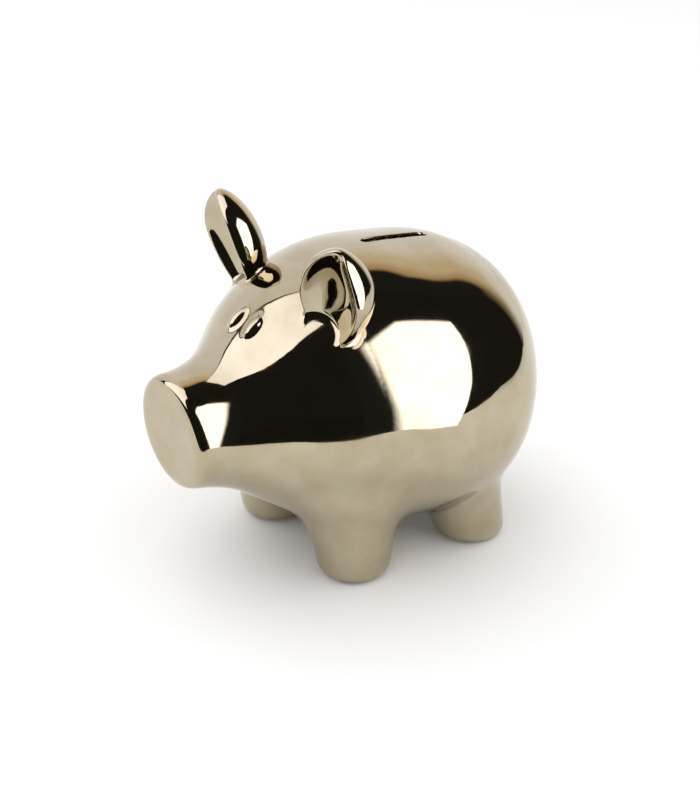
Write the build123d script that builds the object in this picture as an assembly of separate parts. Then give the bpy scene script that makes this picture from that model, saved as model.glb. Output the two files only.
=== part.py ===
from build123d import *

import os
from math import cos, pi, radians, sin, sqrt

# A slip-cast ceramic piggy bank. Millimetres, +Z up. The pig stands on z = 0 and faces -Y, with its
# left side at +X. The origin is on the floor, under the middle of its length.

# ---- Driving dimensions ----
LENGTH = 180.0                # snout face to the back of the curled tail
SNOUT_FACE = -LENGTH / 2
RUMP = 83.2                   # the rearmost point of the body itself
WALL = 4.5                    # thickness of the cast wall
SNOUT_ROUND = 5.5             # rounding of the snout disc's rim

# The body's girth along its length: y, half the width, height of the section's centre
GIRTH = [
    (SNOUT_FACE, 24.8, 75.7),
    (-79.5, 26.1, 74.6),
    (-64.0, 31.8, 73.7),
    (-43.0, 50.0, 75.0),
    (-20.5, 61.2, 76.9),
    (5.0, 69.0, 73.5),
    (28.0, 69.6, 70.5),
    (48.5, 63.6, 71.6),
    (69.5, 42.8, 75.1),
]
RUMP_ROUND = 67.0             # radius of the ball that closes the rump
RUMP_STEPS = (0.60, 0.85, 0.97)   # further sections, as fractions of the way from the last to the rump
RUMP_HEIGHT = 78.2
FLATTENING = 0.093            # how much lower than wide the widest section is
FULL_GIRTH = 60.0             # half width from which the whole flattening holds

SOLE_Z = 1.0                  # the feet stand on pads this thick
LEG_FOOT_R = 15.6
LEG_TOP_R = 23.3
LEG_TOP_Z = 52.0
FOOT_ROUND = 5.0
FRONT_LEG = (30.7, -20.1)     # x and y of the foot's centre
HIND_LEG = (36.5, 41.2)
LEG_INWARD = 1.9              # how far the leg's top stands in from its foot
HIND_SPLAY = 15.5             # how far the hind foot stands back from its top
FRONT_LEG_FILLET = 10.0
HIND_LEG_FILLET = 4.0

SLOT_LENGTH = 34.0
SLOT_WIDTH = 4.5
SLOT_Y = 23.2
SLOT_FLOOR_Z = 115.0          # the slot's cutter reaches down to here, inside the cavity
ABOVE_ALL_Z = 180.0

EYE = (5.9, -51.5)            # x and y of an eye's centre
EYE_HALF = (3.5, 5.9, 2.4)    # the bead's half sizes across, along and out of the forehead
EYE_TILT = 38.0               # slope of the forehead at the eyes, degrees from level

STOPPER_Y = 25.0
HOLE_R = 14.0
SEAT_Z = 11.0                 # flat seat that the stopper's flange closes against
SEAT_R = 18.0
RIM_R = 19.5                  # thickened rim of the hole, inside the belly
RIM_TOP_Z = 16.5
PLUG_CLEARANCE = 0.05
FLANGE_R = 17.0
FLANGE = 2.0
PLUG_TOP_Z = 19.0
PLUG_SKIN = 2.5
PLUG_CHAMFER = 1.2
GRIP_WIDTH = 3.5              # bar across the stopper's finger recess

EAR_ROOT = (28.0, -32.7, 115.2)   # inside the head, where the ear's axis starts
EAR_OUT = 30.7                # lean of the ear away from the middle, degrees
EAR_FORWARD = 4.6             # lean of the ear to the front, degrees
EAR_TURN = 10.0               # how far the ear's hollow faces outwards, degrees
EAR_LENGTH = 43.4
EAR_HALF_WIDTH = 16.8
EAR_HALF_DEPTH = 12.7
EAR_WIDEST = 0.47             # where the leaf is widest, as a fraction of its length
EAR_NECK = 0.49               # how much narrower the leaf is at its root
EAR_POINT = 0.70              # exponent of the leaf's outline: higher is more pointed
EAR_INWARD_CURL = 6.3         # how far the tip bends back over the head from the straight axis
EAR_STATIONS = (0.0, 0.16, 0.32, 0.48, 0.64, 0.78, 0.89, 0.96, 0.99)
HOLLOW_STATIONS = (-0.05, 0.16, 0.32, 0.48, 0.64, 0.78, 0.86)
HOLLOW_WIDTH = 0.86           # the hollow in the ear's front, as fractions of the leaf
HOLLOW_DEPTH = 1.0
HOLLOW_FORWARD = 0.9          # how far the hollow's middle lies in front, as a fraction of the depth

TAIL_TOP_Z = 94.5             # height of the tail's root on the rump
TAIL_R = 3.7                  # thickness of the tail's rod
TAIL_BEND_R = 8.0             # radius of the curl's first half turn
TAIL_TIGHT_R = 6.0            # radius of the rest of the curl
TAIL_ROOT_DEPTH = 8.0         # how far the root reaches into the rump before it is trimmed

PAD_R = 10.0

BASE = (Align.CENTER, Align.CENTER, Align.MIN)


def oval(half_width):
    """Height over width of the body's section: round at the snout, a little flat at full girth."""
    return 1 - FLATTENING * min(1.0, (half_width / FULL_GIRTH) ** 2)


def girth_sections():
    """The listed sections and the ones that close the rump as part of a ball."""
    sections = list(GIRTH)
    last_y, last_r, last_z = GIRTH[-1]
    for step in RUMP_STEPS:
        y = last_y + step * (RUMP - last_y)
        radius = last_r * sqrt((RUMP - y) / (RUMP - last_y))
        sections.append((y, radius, last_z + step * (RUMP_HEIGHT - last_z)))
    return sections


def slopes(sections):
    """How fast the half width grows at each section, from the squares of its neighbours'."""
    result = []
    for i, (y, radius, _) in enumerate(sections):
        before = sections[max(i - 1, 0)]
        after = sections[min(i + 1, len(sections) - 1)]
        result.append((after[1] ** 2 - before[1] ** 2) / (after[0] - before[0]) / (2 * radius))
    return result


def body_form(inset):
    """The body's own form with no legs, moved in by inset along its normal."""
    sections = girth_sections()
    faces = []
    for (y, radius, height), slope in zip(sections, slopes(sections)):
        run = sqrt(1 + slope ** 2)
        inner = radius - inset / run
        place = Plane(origin=(0, y + inset * slope / run, height), x_dir=(1, 0, 0), z_dir=(0, -1, 0))
        faces.append(place * Ellipse(inner, radius * oval(radius) - inset / run))
    return loft(faces)


def leg_form(foot, splay, side, inset):
    """A tapered leg, leaning in and forward towards its top."""
    sole_z = SOLE_Z + inset
    faces = []
    for z in (sole_z, LEG_TOP_Z):
        up = z / LEG_TOP_Z
        radius = LEG_FOOT_R + (LEG_TOP_R - LEG_FOOT_R) * up - inset
        centre = (side * (foot[0] - LEG_INWARD * up), foot[1] - splay * up, z)
        faces.append(Pos(*centre) * Circle(radius))
    leg = loft(faces, ruled=True)
    sole_edge = leg.edges().sort_by(Axis.Z)[0]
    return fillet(sole_edge, max(FOOT_ROUND - inset, 1.0))


def make_shell():
    """The casting: a hollow body on four hollow legs, with the slot, the belly hole and the eyes."""
    outside = body_form(0.0)
    snout_rim = outside.edges().sort_by(Axis.Y)[0]
    outside = fillet(snout_rim, SNOUT_ROUND)
    hollow = body_form(WALL)
    for foot, splay, blend in ((FRONT_LEG, 0.0, FRONT_LEG_FILLET), (HIND_LEG, HIND_SPLAY, HIND_LEG_FILLET)):
        for side in (1, -1):
            leg = leg_form(foot, splay, side, 0.0)
            body_edges = outside.edges() + leg.edges()
            outside = outside + leg
            seam = [e for e in outside.edges() if e not in body_edges and e.center().Z < LEG_TOP_Z]
            seam = [e for e in seam if e.center().X * side > 0 and e.length > LEG_FOOT_R]
            outside = fillet(seam, blend)
            hollow = hollow + leg_form(foot, splay, side, WALL)
    seat_rim = Pos(0, STOPPER_Y, SEAT_Z) * Cylinder(RIM_R, RIM_TOP_Z - SEAT_Z, align=BASE)
    shell = outside - (hollow - seat_rim)
    shell -= Pos(0, STOPPER_Y, 0) * Cylinder(SEAT_R, SEAT_Z, align=BASE)
    shell -= Pos(0, STOPPER_Y, 0) * Cylinder(HOLE_R, SLOT_FLOOR_Z / 2, align=BASE)
    slot = Pos(0, SLOT_Y, SLOT_FLOOR_Z) * Rot(0, 0, 90) * SlotOverall(SLOT_LENGTH, SLOT_WIDTH)
    shell -= extrude(slot, ABOVE_ALL_Z - SLOT_FLOOR_Z)
    for side in (1, -1):
        shell += eye(side)
    return shell


def forehead_height(y):
    """Height of the body's top line between the two listed sections around y."""
    for (y0, r0, z0), (y1, r1, z1) in zip(GIRTH, GIRTH[1:]):
        if y0 <= y <= y1:
            part = (y - y0) / (y1 - y0)
            return (z0 + r0 * oval(r0)) * (1 - part) + (z1 + r1 * oval(r1)) * part
    return 0.0


def eye(side):
    """A small oval bead that stands out of the forehead."""
    bead = scale(Sphere(1.0), by=EYE_HALF)
    return Pos(side * EYE[0], EYE[1], forehead_height(EYE[1])) * Rot(EYE_TILT, 0, 0) * bead


def ear_half_width(along):
    """The leaf's half width at a fraction of its length: a neck, the widest place and a point."""
    if along < EAR_WIDEST:
        return EAR_HALF_WIDTH * (1 - EAR_NECK * (1 - along / EAR_WIDEST) ** 2)
    return EAR_HALF_WIDTH * (1 - ((along - EAR_WIDEST) / (1 - EAR_WIDEST)) ** 2) ** EAR_POINT


def make_ear(side, body):
    """A pointed leaf pressed hollow in front, bent inwards towards its tip and cut to sit on the head."""
    out, forward, turn = radians(EAR_OUT), radians(EAR_FORWARD), radians(EAR_TURN)
    axis = Vector(side * sin(out), -sin(forward) * cos(out), cos(forward) * cos(out))
    front = Vector(side * sin(turn), -cos(turn), 0)
    front = (front - axis * axis.dot(front)).normalized()
    inward = front.cross(axis) * side
    root = Vector(side * EAR_ROOT[0], EAR_ROOT[1], EAR_ROOT[2])

    def section(along, width, thick, forward_by):
        half = ear_half_width(max(along, 0))
        depth = EAR_HALF_DEPTH * (half / EAR_HALF_WIDTH) ** 0.9
        centre = root + axis * (EAR_LENGTH * along) + inward * (EAR_INWARD_CURL * max(along, 0) ** 2)
        return Plane(origin=centre + front * (depth * forward_by), x_dir=front, z_dir=axis) * Ellipse(depth * thick, half * width)

    leaf = loft([section(along, 1, 1, 0) for along in EAR_STATIONS])
    hollow = loft([section(along, HOLLOW_WIDTH, HOLLOW_DEPTH, HOLLOW_FORWARD) for along in HOLLOW_STATIONS])
    return leaf - hollow - body


def make_tail(body):
    """A small curl of round rod that lies against the rump, with a round tip."""
    rear = LENGTH / 2 - TAIL_R
    root = (0, TAIL_TOP_Z)
    bottom = (0, TAIL_TOP_Z - 2 * TAIL_BEND_R)
    tip = (TAIL_TIGHT_R, bottom[1] + TAIL_TIGHT_R)
    half_turn = ThreePointArc(root, (-TAIL_BEND_R, TAIL_TOP_Z - TAIL_BEND_R), bottom)
    quarter = RadiusArc(bottom, tip, -TAIL_TIGHT_R)
    back_plane = Plane(origin=(0, rear, 0), x_dir=(1, 0, 0), z_dir=(0, -1, 0))
    path = back_plane * (half_turn + quarter)
    rod = Plane(origin=path @ 0, z_dir=path % 0) * Circle(TAIL_R)
    ends = Pos(*(path @ 0)) * Sphere(TAIL_R) + Pos(*(path @ 1)) * Sphere(TAIL_R)
    root_stub = Pos(*(path @ 0)) * Rot(90, 0, 0) * Cylinder(TAIL_R, TAIL_ROOT_DEPTH, align=BASE)
    return sweep(rod, path=path) + ends + root_stub - body


def make_stopper():
    """A soft bung: a flange under the belly, a hollow plug in the hole and a bar to pull it by."""
    plug_r = HOLE_R - PLUG_CLEARANCE
    flange_z = SEAT_Z - FLANGE
    plug = Pos(0, 0, SEAT_Z) * Cylinder(plug_r, PLUG_TOP_Z - SEAT_Z, align=BASE)
    plug = chamfer(plug.edges().sort_by(Axis.Z)[-1], PLUG_CHAMFER)
    bung = Pos(0, 0, flange_z) * Cylinder(FLANGE_R, FLANGE, align=BASE) + plug
    recess_r = plug_r - PLUG_SKIN
    recess = Pos(0, 0, flange_z) * Cylinder(recess_r, PLUG_TOP_Z - PLUG_SKIN - flange_z, align=BASE)
    bar = Pos(0, 0, flange_z) * Box(2 * recess_r + 1, GRIP_WIDTH, 2 * FLANGE, align=BASE)
    return Pos(0, STOPPER_Y, 0) * (bung - (recess - bar))


def make_pad(foot, side):
    """A felt disc under a foot."""
    return Pos(side * foot[0], foot[1], 0) * Cylinder(PAD_R, SOLE_Z, align=BASE)


body = body_form(0.0)
parts = {
    "body_shell": make_shell(),
    "ear_left": make_ear(1, body),
    "ear_right": make_ear(-1, body),
    "tail": make_tail(body),
    "stopper": make_stopper(),
}
for place, foot in (("front", FRONT_LEG), ("hind", HIND_LEG)):
    for name, side in (("left", 1), ("right", -1)):
        parts[f"pad_{place}_{name}"] = make_pad(foot, side)

os.makedirs("parts", exist_ok=True)
for name, shape in parts.items():
    export_step(shape, f"parts/{name}.step")
    print(name, len(shape.solids()), round(shape.volume / 1000, 1), "cm3", shape.bounding_box())
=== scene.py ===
# %% [markdown]
# # A lustre-glazed piggy bank
# The object is a slip-cast earthenware pig, glazed and then fired once more with a thin film of
# metal on the glaze, so that it shines like polished champagne gold. This script builds the visible
# pieces around the CAD frame, in the order a potter would meet them: the hollow casting with its
# legs, slot and eyes, the two ears and the tail that are luted on with slip, and then the rubber
# stopper and the felt pads. Each piece is a closed mesh in metres that rides on a CAD body.

import math

import bpy
import numpy as np
import openvdb
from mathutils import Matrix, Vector


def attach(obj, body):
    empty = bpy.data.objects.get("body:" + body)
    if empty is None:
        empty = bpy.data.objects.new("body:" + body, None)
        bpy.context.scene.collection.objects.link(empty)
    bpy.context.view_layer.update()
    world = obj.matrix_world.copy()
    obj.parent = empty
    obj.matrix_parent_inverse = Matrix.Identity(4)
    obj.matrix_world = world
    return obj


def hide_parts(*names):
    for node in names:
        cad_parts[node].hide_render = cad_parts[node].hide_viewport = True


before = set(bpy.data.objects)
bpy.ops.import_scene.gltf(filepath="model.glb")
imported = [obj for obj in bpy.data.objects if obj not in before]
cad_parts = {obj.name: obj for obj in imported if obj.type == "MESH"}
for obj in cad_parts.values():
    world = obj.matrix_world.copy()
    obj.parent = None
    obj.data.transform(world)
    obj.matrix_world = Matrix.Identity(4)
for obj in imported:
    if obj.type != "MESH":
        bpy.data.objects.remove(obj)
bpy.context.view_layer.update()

# %% [markdown]
# ## Camera and studio
# A mirror-bright glaze has hardly any colour of its own: nearly all that the eye reads as gold is
# the room, tinted. So the studio is built first and with as much care as the pig. It is a plain
# product table: a white floor with a white sweep behind it, one broad overhead softbox to the pig's
# right, one tall softbox at its left flank, and darkness behind the camera. The dark side is what
# makes the metal look like metal.

# %% Camera
MM = 0.001
CAMERA_AZIMUTH = math.radians(53.9)      # from the pig's front towards its left side
CAMERA_ELEVATION = math.radians(27.7)
CAMERA_DISTANCE = 0.600
CAMERA_AIM = Vector((0.0, 0.0001, 0.0629))
LENS_PER_SENSOR = 1.7065                 # focal length over the sensor's longer side


def direction(azimuth, elevation):
    """The unit vector towards an azimuth from the pig's front, turning to its left, and an elevation."""
    flat = math.cos(elevation)
    return Vector((math.sin(azimuth) * flat, -math.cos(azimuth) * flat, math.sin(elevation)))


def aim(piece, target):
    """Turns a camera or a lamp to look at the target."""
    piece.rotation_euler = (target - piece.location).to_track_quat("-Z", "Y").to_euler()


camera_data = bpy.data.cameras.new("camera")
camera_data.sensor_width = 36.0
camera_data.lens = camera_data.sensor_width * LENS_PER_SENSOR
camera = bpy.data.objects.new("camera", camera_data)
bpy.context.scene.collection.objects.link(camera)
camera.location = CAMERA_AIM + direction(CAMERA_AZIMUTH, CAMERA_ELEVATION) * CAMERA_DISTANCE
aim(camera, CAMERA_AIM)
bpy.context.scene.camera = camera
bpy.context.scene.view_settings.view_transform = "Standard"
print("camera at", [round(c, 3) for c in camera.location])

# %% [markdown]
# ## Helpers for colour and nodes
# A colour is written the way a maker's chart gives it, as an sRGB hex value. Shaders reckon in linear
# light, so one function turns it. Node trees are built by one more, which adds a node, sets it and
# links it, so that a material reads as a short list of what it is made of.

# %% Colour and node helpers


def srgb(hex_colour):
    """A linear RGBA colour from an sRGB hex value such as C8B48C."""
    values = [int(hex_colour[i : i + 2], 16) / 255 for i in (0, 2, 4)]
    return [v / 12.92 if v <= 0.04045 else ((v + 0.055) / 1.055) ** 2.4 for v in values] + [1.0]


def add_node(tree, kind, settings=None, **links):
    """Adds a node. Settings are attributes or input values; links join an input to an output."""
    node = tree.nodes.new(kind)
    for name, value in (settings or {}).items():
        if name in node.inputs:
            node.inputs[name].default_value = value
        else:
            setattr(node, name, value)
    for name, output in links.items():
        tree.links.new(output, node.inputs[name.replace("_", " ")])
    return node


def new_material(name, settings):
    """A material with one Principled shader, and its node tree to add patterns to."""
    material = bpy.data.materials.new(name)
    material.use_nodes = True
    shader = material.node_tree.nodes["Principled BSDF"]
    for socket, value in settings.items():
        shader.inputs[socket].default_value = value
    return material, material.node_tree, shader


# %% [markdown]
# ## The room
# A product studio is white where the backdrop hangs and black behind the camera. One
# plain world can't be both, so it is told apart by the kind of ray: white as a backdrop, a bright
# dome for the matt floor and felt, and nearly black for the glaze, which gets its light from cards.

# %% World: white to the eye, dark to the mirror
world = bpy.data.worlds.new("studio")
bpy.context.scene.world = world
world.use_nodes = True
sky = world.node_tree
sky.nodes.clear()
rays = add_node(sky, "ShaderNodeLightPath")
seen = add_node(sky, "ShaderNodeBackground", {"Color": srgb("FFFFFF"), "Strength": 1.0})
soft = add_node(sky, "ShaderNodeBackground", {"Color": srgb("FFFFFF"), "Strength": 0.93})
mirrored = add_node(sky, "ShaderNodeBackground", {"Color": srgb("F0EAE0"), "Strength": 0.020})
not_mirrored = add_node(sky, "ShaderNodeMixShader")
sky.links.new(rays.outputs["Is Glossy Ray"], not_mirrored.inputs[0])
sky.links.new(soft.outputs[0], not_mirrored.inputs[1])
sky.links.new(mirrored.outputs[0], not_mirrored.inputs[2])
all_rays = add_node(sky, "ShaderNodeMixShader")
sky.links.new(rays.outputs["Is Camera Ray"], all_rays.inputs[0])
sky.links.new(not_mirrored.outputs[0], all_rays.inputs[1])
sky.links.new(seen.outputs[0], all_rays.inputs[2])
add_node(sky, "ShaderNodeOutputWorld", Surface=all_rays.outputs[0])
print("world nodes", len(sky.nodes))

# %% [markdown]
# Each softbox and the sweep is a card that only the glaze sees. A card is a fine grid whose corners
# hold their own brightness, so that a softbox can fade towards one edge as real diffuser cloth does,
# and the sweep can turn from white to a warm brown where it leaves the light.

# %% Card helpers
PIG_MIDDLE = Vector((0, 0, 0.10))
CARD_STEPS = 260


def fade(value, start, end):
    """0 at start and 1 at end, with a smooth turn at both."""
    part = min(max((value - start) / (end - start), 0), 1)
    return part * part * (3 - 2 * part)


def bearings(point):
    """Azimuth and elevation of a point as seen from the pig's middle, in degrees."""
    away = Vector(point) - PIG_MIDDLE
    azimuth = math.atan2(away.x, -away.y)
    elevation = math.atan2(away.z, math.hypot(away.x, away.y))
    return math.degrees(azimuth), math.degrees(elevation)


def card(name, corners, paint):
    """A four-cornered card that only mirrors see. paint gives the light that leaves each point of it."""
    corners = [Vector(c) for c in corners]
    mesh = bpy.data.meshes.new(name)
    points, faces = [], []
    for j in range(CARD_STEPS + 1):
        for i in range(CARD_STEPS + 1):
            u, v = i / CARD_STEPS, j / CARD_STEPS
            points.append(corners[0].lerp(corners[1], u).lerp(corners[3].lerp(corners[2], u), v))
            if i and j:
                k = len(points) - 1
                faces.append((k, k - 1, k - CARD_STEPS - 2, k - CARD_STEPS - 1))
    mesh.from_pydata([tuple(p) for p in points], [], faces)
    glow = mesh.attributes.new("glow", "FLOAT_COLOR", "POINT")
    for k, point in enumerate(points):
        glow.data[k].color = (*paint(point), 1.0)
    material = bpy.data.materials.new(name)
    material.use_nodes = True
    tree = material.node_tree
    tree.nodes.clear()
    painted = add_node(tree, "ShaderNodeAttribute", {"attribute_name": "glow"})
    light = add_node(tree, "ShaderNodeEmission", Color=painted.outputs["Color"])
    add_node(tree, "ShaderNodeOutputMaterial", Surface=light.outputs[0])
    mesh.materials.append(material)
    piece = bpy.data.objects.new(name, mesh)
    bpy.context.scene.collection.objects.link(piece)
    piece.visible_camera = False
    piece.visible_diffuse = False
    piece.visible_shadow = False
    piece.visible_transmission = False
    return piece


def card_in_view(name, centre, distance, corners, paint):
    """A flat card whose corners lie in the given directions from the pig, square on to its own centre."""
    facing = direction(math.radians(centre[0]), math.radians(centre[1]))
    rays_out = [direction(math.radians(az), math.radians(el)) for az, el in corners]
    return card(name, [PIG_MIDDLE + ray * (distance / ray.dot(facing)) for ray in rays_out], paint)


# %% Floor
# Matt white paper: it lights the belly and the legs from below, and takes the soft shadow.
FLOOR_HALF = 3.0
FLOOR_SIGNS = ((-1, -1), (1, -1), (1, 1), (-1, 1))
floor_mesh = bpy.data.meshes.new("floor")
floor_mesh.from_pydata([(x * FLOOR_HALF, y * FLOOR_HALF, 0) for x, y in FLOOR_SIGNS], [], [(0, 1, 2, 3)])
floor = bpy.data.objects.new("floor", floor_mesh)
bpy.context.scene.collection.objects.link(floor)
paper = new_material("white_table_paper", {
    "Base Color": srgb("F2F2F2"),
    "Roughness": 1.0,
    "Specular IOR Level": 0.0,
})[0]
floor_mesh.materials.append(paper)
print("floor", 2 * FLOOR_HALF, "m wide")

# %% Table edge
# The table ends a short way in front of the pig, on the camera's side. Past it the glaze mirrors the
# dark room, and the edge is the sharp horizon that runs round the belly.
CARD_LIFT = 0.0004                       # keeps the card just clear of the floor
ROOM_HALF_WIDTH = 6

TABLE_EDGE = 0.262                       # from the pig's middle to the table's edge, towards the camera
edge_out = direction(CAMERA_AZIMUTH, 0)
edge_along = Vector((-edge_out.y, edge_out.x, 0))
near_edge = edge_out * TABLE_EDGE + Vector((0, 0, CARD_LIFT))
far_edge = edge_out * FLOOR_HALF * 2 + Vector((0, 0, CARD_LIFT))


def unlit(point):
    """The room beyond the table."""
    return 0.015, 0.0145, 0.0125


room_side = edge_along * ROOM_HALF_WIDTH
room_corners = [near_edge - room_side, near_edge + room_side, far_edge + room_side, far_edge - room_side]
card("dark_room", room_corners, unlit)
print("table edge at", TABLE_EDGE)

# %% Sweep
# The paper sweep behind the pig: white in the lamp's reach, and warm and dark above it.


def sweep_light(point):
    """The sweep is white up to the lamp's reach, then turns tan, brown and dark; its far side fades."""
    azimuth, elevation = bearings(point)
    turned = (azimuth + 360) % 360
    below_top = np.interp(turned, (182, 198, 215, 240, 262), (33, 52, 57, 68, 90)) - elevation
    dim = fade(turned, 174, 192)
    white, tan, brown = (1.07, 1.05, 1.06), (0.94, 0.80, 0.60), (0.68, 0.50, 0.29)
    first, second, third = fade(below_top, 34, 16), fade(below_top, 15, 4), fade(below_top, 5.5, -1)
    mixed = [w + (t - w) * first for w, t in zip(white, tan)]
    mixed = [m + (b - m) * second for m, b in zip(mixed, brown)]
    return [max(m * (1 - third) * dim, 0.02) for m in mixed]


SWEEP = [(-62, -12), (-184, -12), (-184, 66), (-62, 70)]
card_in_view("sweep", (-126, 20), 1.0, SWEEP, sweep_light)
print("sweep corners", SWEEP)

# %% Overhead softbox
# One broad cloth over the pig's right shoulder, in a black frame. The frame shows in the forehead as
# a thin dark line between the cloth and the sweep.


def overhead_light(point):
    """Cream cloth, a little brighter low down."""
    elevation = bearings(point)[1]
    bright = 2.12 - 0.30 * fade(elevation, 35, 80)
    return bright, bright * 0.995, bright * 1.08


OVERHEAD = [(-50, -4), (-2, 22), (30, 80), (-109, 74)]
OVERHEAD_FRAME = [(-53, -6), (0, 21), (36, 80), (-114, 75)]
card_in_view("overhead_softbox", (-50, 55), 0.70, OVERHEAD, overhead_light)
card_in_view("overhead_rim", (-50, 55), 0.705, OVERHEAD_FRAME, unlit)
print("overhead corners", OVERHEAD)

# %% Flank softbox
# A tall cloth at the pig's left, standing on the table. It makes the bright window in the flank and
# the small one beside the snout.
FLANK_X = 0.283


def flank_light(point):
    """White cloth that fades at the edge nearest the pig's head."""
    edge = -0.036 - 0.14 * min(point.z, 0.12) - 0.12 * max(point.z - 0.12, 0)
    soft_edge = 0.010 + 0.07 * max(point.z - 0.15, 0)
    top = min(0.62 + 0.9 * point.y, 0.71) - 0.28 * max(point.y - 0.1, 0)
    reach = fade(point.y, edge - soft_edge, edge + soft_edge) * fade(point.z, top, top - 0.09)
    return 3.2 * reach + 0.02, 3.15 * reach + 0.02, 3.3 * reach + 0.02


FLANK = [(FLANK_X, -0.10, 0.001), (FLANK_X, 0.072, 0.001), (FLANK_X, 0.62, 0.76), (FLANK_X, -0.24, 0.76)]
card("flank_softbox", FLANK, flank_light)
print("flank softbox", FLANK_X, "m to the left")

# %% [markdown]
# ## Lamps
# The cards are only what the glaze mirrors. Two broad lamps light the floor and the felt, from the
# same sides as the softboxes, so that the shadows under the feet are soft and fall the same way.

# %% Lamps


def softbox_lamp(name, azimuth, elevation, distance, size, watts):
    """A square area lamp that lights matt surfaces only, aimed at the pig."""
    data = bpy.data.lights.new(name, "AREA")
    data.energy = watts
    data.size = size
    lamp = bpy.data.objects.new(name, data)
    bpy.context.scene.collection.objects.link(lamp)
    lamp.location = direction(math.radians(azimuth), math.radians(elevation)) * distance
    lamp.visible_glossy = False
    aim(lamp, Vector((0, 0, 0.05)))
    return lamp


softbox_lamp("overhead_lamp", -60, 62, 1.3, 1.6, 7.5)
softbox_lamp("flank_lamp", 126, 45, 1.3, 1.4, 3.5)
print("lamps", len(bpy.data.lights))

# %% [markdown]
# ## Clay forms as distance fields
# A slip casting has no sharp joins: the legs swell out of the belly and the ears are smoothed in with
# a wet finger. Such a form is easiest to describe as a distance field, a function that says how far
# a point is outside the clay. Two forms are joined by a smooth minimum, whose width is the radius
# that the potter's finger leaves. The field is sampled on a grid, turned to quads, and every vertex
# is then moved on to the exact surface and given the exact normal, because a mirror glaze would show
# any facet.

# %% Field helpers


def natural_spline(xs, ys):
    """A natural cubic spline through the points, which goes on straight past its ends. Returns a function."""
    xs, ys = np.asarray(xs, float), np.asarray(ys, float)
    n, h = len(xs), np.diff(xs)
    system, right = np.eye(n), np.zeros(n)
    for i in range(1, n - 1):
        system[i, i - 1 : i + 2] = h[i - 1], 2 * (h[i - 1] + h[i]), h[i]
        right[i] = 6 * ((ys[i + 1] - ys[i]) / h[i] - (ys[i] - ys[i - 1]) / h[i - 1])
    bend = np.linalg.solve(system, right)

    def value_and_slope(x):
        inside = np.clip(x, xs[0], xs[-1])
        i = np.clip(np.searchsorted(xs, inside) - 1, 0, n - 2)
        a, b = (xs[i + 1] - inside) / h[i], (inside - xs[i]) / h[i]
        value = a * ys[i] + b * ys[i + 1] + ((a**3 - a) * bend[i] + (b**3 - b) * bend[i + 1]) * h[i] ** 2 / 6
        slope = (ys[i + 1] - ys[i]) / h[i]
        slope = slope + (-(3 * a**2 - 1) * bend[i] + (3 * b**2 - 1) * bend[i + 1]) * h[i] / 6
        return value + slope * (x - inside), slope

    return value_and_slope


def join(a, b, width):
    """Smooth union of two fields; width is how far the join spreads."""
    blend = np.maximum(width - np.abs(a - b), 0) / width
    return np.minimum(a, b) - blend**3 * width / 6


def cut(a, b, width):
    """Field a with field b taken away, and the edge rounded."""
    return -join(-a, b, width)


def axis_steps(low, high, step_at):
    """Grid positions from low to high whose spacing is step_at(position)."""
    positions = [low]
    while positions[-1] < high:
        positions.append(positions[-1] + step_at(positions[-1]))
    return np.array(positions)


def gradient(field, points, step=0.02):
    """The field's slope at each point, by central differences."""
    slopes = []
    for k in range(3):
        shift = np.zeros(3)
        shift[k] = step
        slopes.append((field(*(points + shift).T) - field(*(points - shift).T)) / (2 * step))
    return np.stack(slopes, 1)


def clay_mesh(name, field, axes):
    """A closed smooth mesh of the surface where the field is zero. The field is in millimetres."""
    samples = np.empty([len(a) for a in axes], np.float32)
    grid_y, grid_z = np.meshgrid(axes[1], axes[2], indexing="ij")
    for i, x in enumerate(axes[0]):
        samples[i] = np.clip(field(np.full_like(grid_y, x), grid_y, grid_z), -6, 6)
    grid = openvdb.FloatGrid()
    grid.background = 6.0
    grid.copyFromArray(samples)
    points, quads = grid.convertToQuads(0.0)
    points = np.stack([np.interp(points[:, k], np.arange(len(axes[k])), axes[k]) for k in range(3)], 1)
    for _ in range(5):
        slope = gradient(field, points)
        steepness = np.maximum((slope**2).sum(1), 0.05)
        step = field(*points.T) / steepness
        points -= slope * np.clip(step, -0.7, 0.7)[:, None]
    normals = gradient(field, points)
    normals /= np.maximum(np.linalg.norm(normals, axis=1, keepdims=True), 1e-9)
    corner = points[quads]
    facing = np.cross(corner[:, 2] - corner[:, 0], corner[:, 3] - corner[:, 1])
    if (facing * normals[quads[:, 0]]).sum() < 0:
        quads = quads[:, ::-1]
    mesh = bpy.data.meshes.new(name)
    mesh.from_pydata((points * MM).tolist(), [], quads.tolist())
    mesh.validate()
    mesh.shade_smooth()
    mesh.normals_split_custom_set_from_vertices(normals.tolist())
    piece = bpy.data.objects.new(name, mesh)
    bpy.context.scene.collection.objects.link(piece)
    furthest = float(np.abs(field(*points.T)).max())
    print(name, "quads", len(mesh.polygons), "furthest off the surface", round(furthest, 4), "mm")
    return piece


# %% [markdown]
# ## The body
# The body is one long swelling form: a round snout, cheeks, a wide barrel and a rounded rump. Its
# girth is a spline of the squared half width, because that closes a round end with no point.

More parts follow.
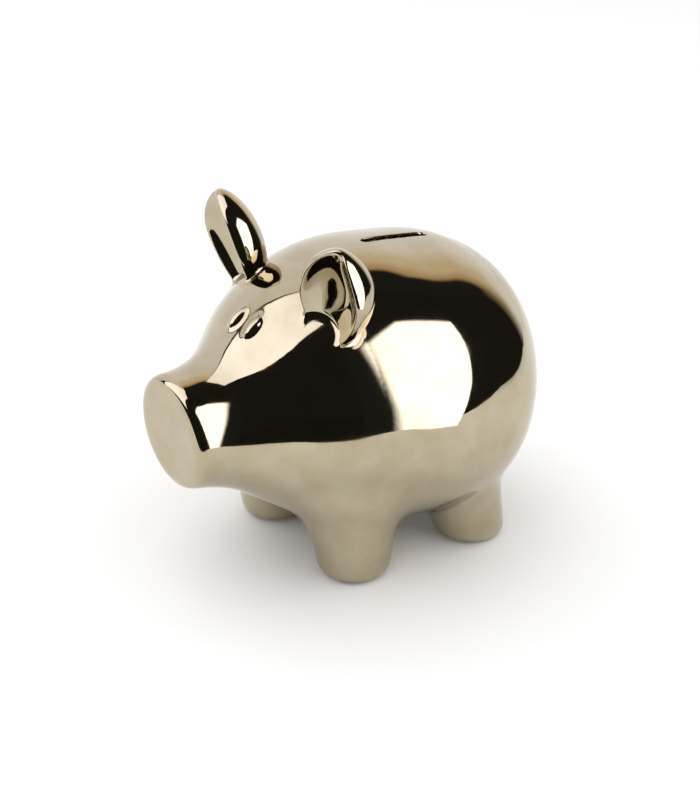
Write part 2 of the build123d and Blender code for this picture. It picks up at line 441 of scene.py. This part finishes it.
# %% Body form
SNOUT_FACE = -90.0
RUMP = 83.2
GIRTH = [
    (SNOUT_FACE, 24.5),
    (-84.0, 24.9),
    (-79.0, 25.7),
    (-71.0, 28.1),
    (-64.0, 31.8),
    (-43.0, 50.0),
    (-20.5, 61.2),
    (5.0, 69.0),
    (28.0, 69.6),
    (48.5, 63.6),
    (69.5, 42.8),
    (RUMP, 0.0),
]
SPINE = [(SNOUT_FACE, 75.7), (-55.4, 73.8), (-20.7, 76.9), (22.6, 70.9), (RUMP, 78.2)]
FLATTENING = 0.093                       # how much lower than wide the barrel is
SNOUT_RIM = 7.5                          # how far the snout's rim is rounded
FULL_GIRTH = 60.0                        # the half width at which the flattening is complete
girth_squared = natural_spline([y for y, _ in GIRTH], [r**2 for _, r in GIRTH])
spine = natural_spline([y for y, _ in SPINE], [z for _, z in SPINE])


SPONGED_AWAY = 0.055                     # sponging only takes clay away, so this outweighs the waves


def hand_finish(x, y, z):
    """The slight unevenness that sponging leaves on the cast clay, in millimetres."""
    swell = np.sin(0.11 * x + 0.07 * y + 1.3) * np.sin(0.09 * z - 0.05 * y + 0.4)
    ripple = np.sin(0.31 * y + 0.12 * x - 0.7) * np.sin(0.27 * z + 0.16 * x + 2.1)
    return SPONGED_AWAY + 0.035 * swell + 0.016 * ripple


def torso(x, y, z):
    """Body, head and snout, with a flat snout face."""
    squared, growth = girth_squared(y)
    height, _ = spine(y)
    up = z - height
    oval = 1 - FLATTENING * np.clip(squared / FULL_GIRTH**2, 0, 1)
    reach = x**2 + (up / oval) ** 2
    steepness = np.sqrt(4 * (x**2 + (up / oval**2) ** 2) + growth**2 + 4 * 6.0**2)
    return -join(-(reach - squared) / steepness, y - SNOUT_FACE, SNOUT_RIM)


print("body from", SNOUT_FACE, "to", RUMP, "mm")

# %% [markdown]
# ## Legs and eyes
# The legs and eyes are part of the mould, so they are part of the same skin. The legs are short posts
# that swell into the belly, with a soft edge round the sole. The eyes are two low oval beads, so low
# that they show mainly by how they bend what the forehead mirrors.

# %% Legs and eyes
FRONT_LEG = (30.7, -20.1, 0.5)           # x and y of the foot's middle, and how far it splays back
HIND_LEG = (36.5, 41.2, 10.4)
SOLE = 1.0
LEG_RISE = 35.0                          # height over which the leg's taper is given
LEG_FOOT_R = 15.6
LEG_GROWTH = 5.2
LEG_INWARD = 1.3
LEG_FADE = 38.0                          # the leg's form dies away inside the belly above this
SOLE_ROUNDING = 6.0
FRONT_SWELL = 17.6                       # how far each pair of legs swells into the belly
HIND_SWELL = 6.8
EYE = (5.8, -52.0, 114.2)
EYE_HALF = (2.8, 5.0, 2.2)
EYE_TILT = math.radians(40)
EYE_SOFTENING = 2.6


def leg(x, y, z, place):
    """One pair of legs, as tapered round posts with a rounded foot."""
    foot_x, foot_y, splay = place
    rise = z / LEG_RISE
    across = np.hypot(np.abs(x) - foot_x + LEG_INWARD * rise, y - foot_y + splay * rise)
    post = across - LEG_FOOT_R - LEG_GROWTH * np.minimum(rise, 2)
    fade_out = 0.03 * np.maximum(z - LEG_FADE, 0) ** 2
    return -join(-post - fade_out, z - SOLE, SOLE_ROUNDING)


def eye(x, y, z):
    """A pair of oval beads on the forehead."""
    dx, dy, dz = np.abs(x) - EYE[0], y - EYE[1], z - EYE[2]
    along = dy * math.cos(EYE_TILT) + dz * math.sin(EYE_TILT)
    out = dz * math.cos(EYE_TILT) - dy * math.sin(EYE_TILT)
    size = np.sqrt((dx / EYE_HALF[0]) ** 2 + (along / EYE_HALF[1]) ** 2 + (out / EYE_HALF[2]) ** 2)
    return (size - 1) * EYE_HALF[2]


def skin(x, y, z):
    """The outside of the whole casting."""
    form = join(torso(x, y, z), leg(x, y, z, FRONT_LEG), FRONT_SWELL)
    form = join(form, leg(x, y, z, HIND_LEG), HIND_SWELL)
    return join(form, eye(x, y, z), EYE_SOFTENING) + hand_finish(x, y, z)


print("feet at", FRONT_LEG[:2], "and", HIND_LEG[:2], "mm")

# %% [markdown]
# ## The hollow shell
# Slip is poured into a plaster mould, left until a wall has set, and poured out again. So the inside
# follows the outside at one wall's thickness, which in a distance field is the same field again,
# moved inwards. The coin slot is cut while the clay is leather hard. The belly has a seat and a hole
# for the stopper, with a thicker rim round them.

# %% Shell with its openings
WALL = 4.5
SLOT = (17.0, 2.25, 23.2)                # half length, half width and middle of the coin slot
STOPPER_Y = 25.0
HOLE_R = 14.0
SEAT_R = 18.0
SEAT_Z = 11.0
RIM_R = 19.5
RIM_TOP = 16.5


def post_of(x, y, radius):
    """An upright post around the stopper's middle."""
    return np.hypot(x, y - STOPPER_Y) - radius


def shell(x, y, z):
    """The hollow casting: the skin less its inside, with the coin slot and the stopper's seat and hole."""
    outside = skin(x, y, z)
    clay = np.maximum(outside, -(outside + WALL))
    rim = np.maximum(post_of(x, y, RIM_R), np.maximum(z - RIM_TOP, outside))
    clay = join(clay, rim, 1.0)
    half_length, half_width, middle = SLOT
    past_end = np.maximum(np.abs(y - middle) - half_length + half_width, 0)
    slot = np.maximum(np.hypot(x, past_end) - half_width, 100 - z)
    clay = cut(clay, slot, 0.9)
    clay = cut(clay, np.maximum(post_of(x, y, SEAT_R), z - SEAT_Z), 0.8)
    return cut(clay, np.maximum(post_of(x, y, HOLE_R), z - 40), 0.8)


def fine_near_middle(x):
    """Finer steps near the slot, in the pig's middle."""
    return 0.5 if abs(x) < 4 else 0.5 + 0.85 * min((abs(x) - 4) / 10, 1)


body_axes = (
    axis_steps(-73.0, 73.5, fine_near_middle),
    axis_steps(-93.0, 87.0, lambda y: 0.8 if -61 < y < -43 else 1.3),
    axis_steps(-2.0, 139.0, lambda z: 0.9 if z > 128 or 105 < z < 122 else 1.3),
)
body_shell = clay_mesh("glazed_shell", shell, body_axes)

# %% [markdown]
# ## The ears
# Each ear is a pointed leaf of clay, pressed hollow in front with a thumb, so that it has a thick
# rounded lip. It is stuck to the wet head with slip and smoothed in with a finger. The ear's mesh
# holds the fillet too, and runs out where the fillet meets the head.

# %% Ear form
EAR_ROOT = np.array((28.0, -32.7, 115.2))
EAR_OUT = 0.515
EAR_FORWARD = 0.081
EAR_LENGTH = 43.4
EAR_OUTER_HALF = 17.4
EAR_INNER_HALF = 16.3
EAR_HALF_DEPTH = 12.7
EAR_CURL = 0.3
EAR_SWAY = -4.8
EAR_WIDEST_OUTER = 0.640
EAR_WIDEST_INNER = 0.399
EAR_POINT = 1.4
EAR_NECK = 0.490
EAR_TURN = 0.174                          # how far the hollow faces outwards
LIP_ROUNDING = 3.2                       # how far the lip's edge is softened
HOLLOW_RISE = 0.4                        # how much shallower the hollow gets towards the tip
EAR_THINNING = 0.903
# The hollow's half width, sideways and forward shift and half depth, as shares of the leaf's.
HOLLOW = (0.95, 0.06, 0.80, 1.02)

ear_axis = np.array((
    math.sin(EAR_OUT),
    -math.sin(EAR_FORWARD) * math.cos(EAR_OUT),
    math.cos(EAR_FORWARD) * math.cos(EAR_OUT),
))
ear_front = np.array((math.sin(EAR_TURN), -math.cos(EAR_TURN), 0.0))
ear_front -= ear_axis * ear_front.dot(ear_axis)
ear_front /= np.linalg.norm(ear_front)
ear_side = np.cross(ear_axis, ear_front)


def ear(x, y, z):
    """The left ear's leaf with its hollow, before it is smoothed in."""
    offset = np.stack([x - EAR_ROOT[0], y - EAR_ROOT[1], z - EAR_ROOT[2]], -1)
    up, front, side = offset @ ear_axis, offset @ ear_front, offset @ ear_side
    along = up / EAR_LENGTH
    bend = np.clip(along, 0, 1.3) ** 2
    front = front - EAR_CURL * bend
    side = side - EAR_SWAY * bend
    outer = 1 / (1 + np.exp(-np.clip(side / 2, -30, 30)))
    half = EAR_INNER_HALF + (EAR_OUTER_HALF - EAR_INNER_HALF) * outer
    widest = EAR_WIDEST_INNER + (EAR_WIDEST_OUTER - EAR_WIDEST_INNER) * outer
    reach = np.clip(along, -0.6, 1.0)
    above = np.maximum(1 - ((reach - widest) / (1 - widest)) ** 2, 0) ** (EAR_POINT / 2)
    below = 1 - EAR_NECK * ((widest - reach) / widest) ** 2
    taper = np.maximum(np.where(reach < widest, below, above), 0.02)
    depth = np.maximum(EAR_HALF_DEPTH * taper**EAR_THINNING, 0.5)
    half = np.maximum(half * taper, 0.5)
    least = np.minimum(half, depth)
    leaf = (np.hypot(side / half, front / depth) - 1) * least
    leaf = -join(-leaf, EAR_LENGTH - up, 3.0)
    ahead = HOLLOW[2] + HOLLOW_RISE * np.clip(along, 0, 1) ** 5
    hollow = np.hypot((side / half - HOLLOW[1]) / HOLLOW[0], (front / depth - ahead) / HOLLOW[3])
    return cut(leaf, (hollow - 1) * least * 0.8, LIP_ROUNDING)


LUTING = 3.0                             # how far the slip smooths the ear into the head
SKIRT = 2.6                              # how far past the ear its mesh carries the fillet
ROOT_DEPTH = 2.5                         # how far the mesh goes into the wall


def luted(form):
    """Field of a piece smoothed on to the casting: its own form, its fillet and a root in the wall."""

    def field(x, y, z):
        base = skin(x, y, z)
        piece = form(x, y, z)
        under = 0.06 * np.clip(piece - SKIRT + 1, 0, 1) ** 2
        smoothed = join(base, piece, LUTING) + under
        return np.maximum(np.maximum(smoothed, piece - SKIRT), -(base + ROOT_DEPTH))

    return field


def right_ear(x, y, z):
    """The left ear's mirror image."""
    return ear(-x, y, z)


EAR_STEP = 0.7
ear_axes = [axis_steps(low, high, lambda _: EAR_STEP) for low, high in ((6, 64), (-52, -12), (100, 160))]
ear_left = clay_mesh("glazed_ear_left", luted(ear), ear_axes)
ear_right = clay_mesh("glazed_ear_right", luted(right_ear), (-ear_axes[0][::-1], ear_axes[1], ear_axes[2]))

# %% [markdown]
# ## The tail
# The tail is a thin roll of clay, curled once and pressed on to the rump. Its line is a short straight
# root, a half turn and a tighter quarter turn, and the roll is a row of capsules along it.

# %% Tail form
TAIL_TOP = 94.5
TAIL_REAR = 86.3                         # the roll's middle lies this far back
TAIL_R = 3.6
TAIL_ROOT = 8.0                          # straight length inside the rump
TAIL_BEND = 8.0                          # radius of the first half turn
TAIL_TIGHT = 6.0                         # radius of the last quarter turn
TAIL_THINNING = 0.8                      # how much thinner the roll gets for each radian of it


def tail_line(along):
    """A point and the roll's radius, from the root at 0 to the tip at 1."""
    root, half_turn, quarter = TAIL_ROOT, math.pi * TAIL_BEND, math.pi / 2 * TAIL_TIGHT
    run = along * (root + half_turn + quarter) - root
    if run < 0:
        return (0.0, TAIL_REAR + run, TAIL_TOP), TAIL_R
    if run < half_turn:
        turn = run / TAIL_BEND
        height = TAIL_TOP - TAIL_BEND + TAIL_BEND * math.cos(turn)
        return (-TAIL_BEND * math.sin(turn), TAIL_REAR, height), TAIL_R
    turn = (run - half_turn) / TAIL_TIGHT
    low = TAIL_TOP - 2 * TAIL_BEND
    height = low + TAIL_TIGHT * (1 - math.cos(turn))
    return (TAIL_TIGHT * math.sin(turn), TAIL_REAR, height), TAIL_R - TAIL_THINNING * turn


TAIL_BALLS = 60
tail_points = [tail_line(i / (TAIL_BALLS - 1)) for i in range(TAIL_BALLS)]


def tail_form(x, y, z):
    """The roll as a row of capsules."""
    nearest = np.full(np.shape(x), 50.0)
    for (start, r0), (end, r1) in zip(tail_points, tail_points[1:]):
        a, b = np.array(start), np.array(end)
        run = b - a
        dx, dy, dz = x - a[0], y - a[1], z - a[2]
        part = np.clip((dx * run[0] + dy * run[1] + dz * run[2]) / run.dot(run), 0, 1)
        far = np.sqrt((dx - part * run[0]) ** 2 + (dy - part * run[1]) ** 2 + (dz - part * run[2]) ** 2)
        nearest = np.minimum(nearest, far - r0 - (r1 - r0) * part)
    return nearest


TAIL_STEP = 0.6
tail_axes = [axis_steps(low, high, lambda _: TAIL_STEP) for low, high in ((-15, 15), (70, 92), (70, 104))]
tail = clay_mesh("glazed_tail", luted(tail_form), tail_axes)

# %% [markdown]
# ## Finishes
# The glaze is fired smooth first. Then a lustre, a resin that holds a little gold and other metal, is
# brushed over it and fired again at low heat. What is left is a film of metal too thin to feel, on a
# glaze that pooled and flowed a little: so the mirror is clear, with a faint ripple and here and
# there a slightly softer patch.

# %% Gold lustre
lustre, lustre_tree, lustre_shader = new_material("champagne_gold_lustre", {
    "Base Color": srgb("B5AA91"),
    "Metallic": 1.0,
    "Roughness": 0.05,
})
BRUSH_MM = 14.0                          # size of the patches that the lustre brush leaves
FLOW_MM = 5.0                            # size of the ripples where the glaze flowed
place_on_pig = add_node(lustre_tree, "ShaderNodeTexCoord").outputs["Object"]
patches = add_node(lustre_tree, "ShaderNodeTexNoise", {
    "Scale": 1000 / BRUSH_MM,
    "Detail": 3.0,
    "Roughness": 0.55,
}, Vector=place_on_pig)
softness = add_node(lustre_tree, "ShaderNodeMapRange", {
    "From Min": 0.35,
    "From Max": 0.75,
    "To Min": 0.035,
    "To Max": 0.085,
}, Value=patches.outputs["Fac"])
lustre_tree.links.new(softness.outputs["Result"], lustre_shader.inputs["Roughness"])
film = add_node(lustre_tree, "ShaderNodeValToRGB", Fac=patches.outputs["Fac"])
for stop, position, tint in zip(film.color_ramp.elements, (0.35, 0.70), ("BAB098", "B0A489")):
    stop.position = position
    stop.color = srgb(tint)
lustre_tree.links.new(film.outputs["Color"], lustre_shader.inputs["Base Color"])
flow = add_node(lustre_tree, "ShaderNodeTexNoise", {
    "Scale": 1000 / FLOW_MM,
    "Detail": 2.0,
}, Vector=place_on_pig)
ripple = add_node(lustre_tree, "ShaderNodeBump", {
    "Strength": 1.0,
    "Distance": 0.000012,
}, Height=flow.outputs["Fac"])
lustre_tree.links.new(ripple.outputs["Normal"], lustre_shader.inputs["Normal"])
print("lustre nodes", len(lustre_tree.nodes))
for piece in (body_shell, ear_left, ear_right, tail):
    piece.data.materials.append(lustre)

# %% [markdown]
# ## Bare clay
# Glaze is poured over the outside only. It runs a little way into the slot and the stopper's seat,
# and past that the fired earthenware is bare: pale buff, matt and dry, with no shine at all.

# %% Bare clay inside
bare_clay = new_material("bare_earthenware", {
    "Base Color": srgb("D9CBB4"),
    "Roughness": 0.85,
})[0]
GLAZE_EDGE = 3.6                         # the glaze ends this far down the slot and the stopper's seat
body_shell.data.materials.append(bare_clay)
face_middles = np.array([face.center for face in body_shell.data.polygons]) / MM
inside = skin(*face_middles.T) < -GLAZE_EDGE
body_shell.data.polygons.foreach_set("material_index", inside.astype(np.int32))
print("bare clay faces", int(inside.sum()))

# %% [markdown]
# ## Stopper and felt pads
# The stopper is moulded black rubber: a flange that closes against the seat, a plug that grips the
# hole, and a recess with a bar across it for a fingernail. Under each foot is a disc cut from wool
# felt, so that the glaze doesn't scratch the shelf.

# %% Stopper
FLANGE_R, FLANGE_Z = 17.0, 9.0
PLUG_R, PLUG_TOP = 13.95, 19.0
RECESS_R, RECESS_TOP = 11.5, 16.5
BAR_HALF = 1.75


def slab(x, y, z, radius, low, high):
    """A flat round disc between two heights."""
    return -join(-post_of(x, y, radius), -np.maximum(low - z, z - high), 0.9)


def rubber(x, y, z):
    """The stopper: flange, plug and the recess with its bar."""
    flange = slab(x, y, z, FLANGE_R, FLANGE_Z, SEAT_Z)
    plug = slab(x, y, z, PLUG_R, FLANGE_Z + 0.6, PLUG_TOP)
    bung = join(flange, plug, 0.3)
    recess = np.maximum(post_of(x, y, RECESS_R), np.maximum(z - RECESS_TOP, FLANGE_Z - 3 - z))
    recess = cut(recess, np.abs(y - STOPPER_Y) - BAR_HALF, 0.8)
    return cut(bung, recess, 0.8)


stopper = clay_mesh("rubber_stopper", rubber, (
    axis_steps(-18.5, 18.5, lambda x: 0.45),
    axis_steps(STOPPER_Y - 18.5, STOPPER_Y + 18.5, lambda y: 0.45),
    axis_steps(7.5, 20.5, lambda z: 0.35),
))
# Moulded rubber takes the mould's fine matt finish: black, with a broad dull sheen.
black_rubber = new_material("moulded_black_rubber", {
    "Base Color": srgb("232120"),
    "Roughness": 0.55,
    "IOR": 1.52,
})[0]
stopper.data.materials.append(black_rubber)

# %% Felt pads
# Felt is a mat of loose fibres, which scatter light softly at the edge: the sheen stands for them.
PAD_R = 10.0
PAD_SIDES = 64
felt = new_material("wool_felt", {
    "Base Color": srgb("6E5B45"),
    "Roughness": 0.95,
    "Sheen Weight": 0.5,
    "Sheen Roughness": 0.6,
})[0]
PAD_PROFILE = [
    (0.0, 0.0),
    (PAD_R - 0.45, 0.0),
    (PAD_R - 0.12, 0.12),
    (PAD_R, 0.40),
    (PAD_R, 0.65),
    (PAD_R - 0.15, 0.9),
    (PAD_R - 0.45, SOLE),
    (0.0, SOLE),
]


def lathe(name, profile, x, y):
    """A closed round piece turned from a profile of radii and heights, in millimetres."""
    points = [(x, y, profile[0][1]), (x, y, profile[-1][1])]
    rings = profile[1:-1]
    for radius, height in rings:
        for k in range(PAD_SIDES):
            turn = 2 * math.pi * k / PAD_SIDES
            points.append((x + radius * math.cos(turn), y + radius * math.sin(turn), height))
    faces = []
    for k in range(PAD_SIDES):
        after = (k + 1) % PAD_SIDES
        faces.append((0, 2 + after, 2 + k))
        for j in range(len(rings) - 1):
            low, high = 2 + j * PAD_SIDES, 2 + (j + 1) * PAD_SIDES
            faces.append((low + k, low + after, high + after, high + k))
        last = 2 + (len(rings) - 1) * PAD_SIDES
        faces.append((1, last + k, last + after))
    mesh = bpy.data.meshes.new(name)
    mesh.from_pydata((np.array(points) * MM).tolist(), [], faces)
    mesh.shade_smooth()
    piece = bpy.data.objects.new(name, mesh)
    bpy.context.scene.collection.objects.link(piece)
    return piece


pads = {}
for place, (foot_x, foot_y, _) in (("front", FRONT_LEG), ("hind", HIND_LEG)):
    for side_name, side in (("left", 1), ("right", -1)):
        pad = lathe(f"felt_pad_{place}_{side_name}", PAD_PROFILE, side * foot_x, foot_y)
        pad.data.materials.append(felt)
        pads[f"pad_{place}_{side_name}"] = pad

# %% [markdown]
# ## Bodies
# Everything that is fired or glued together moves as one body, the bank. Only the stopper comes out,
# so it rides on a body of its own. Each piece takes the place of the plain CAD node it was built for.

# %% Put the pieces on their bodies
glazed = {"body_shell": body_shell, "ear_left": ear_left, "ear_right": ear_right, "tail": tail}
for slot_name, pieces in (("lustre_glaze", glazed), ("pad_felt", pads)):
    for node, piece in pieces.items():
        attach(piece, "bank")
        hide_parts(node)
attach(stopper, "stopper")
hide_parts("stopper")
print("pieces", len(glazed) + len(pads) + 1)
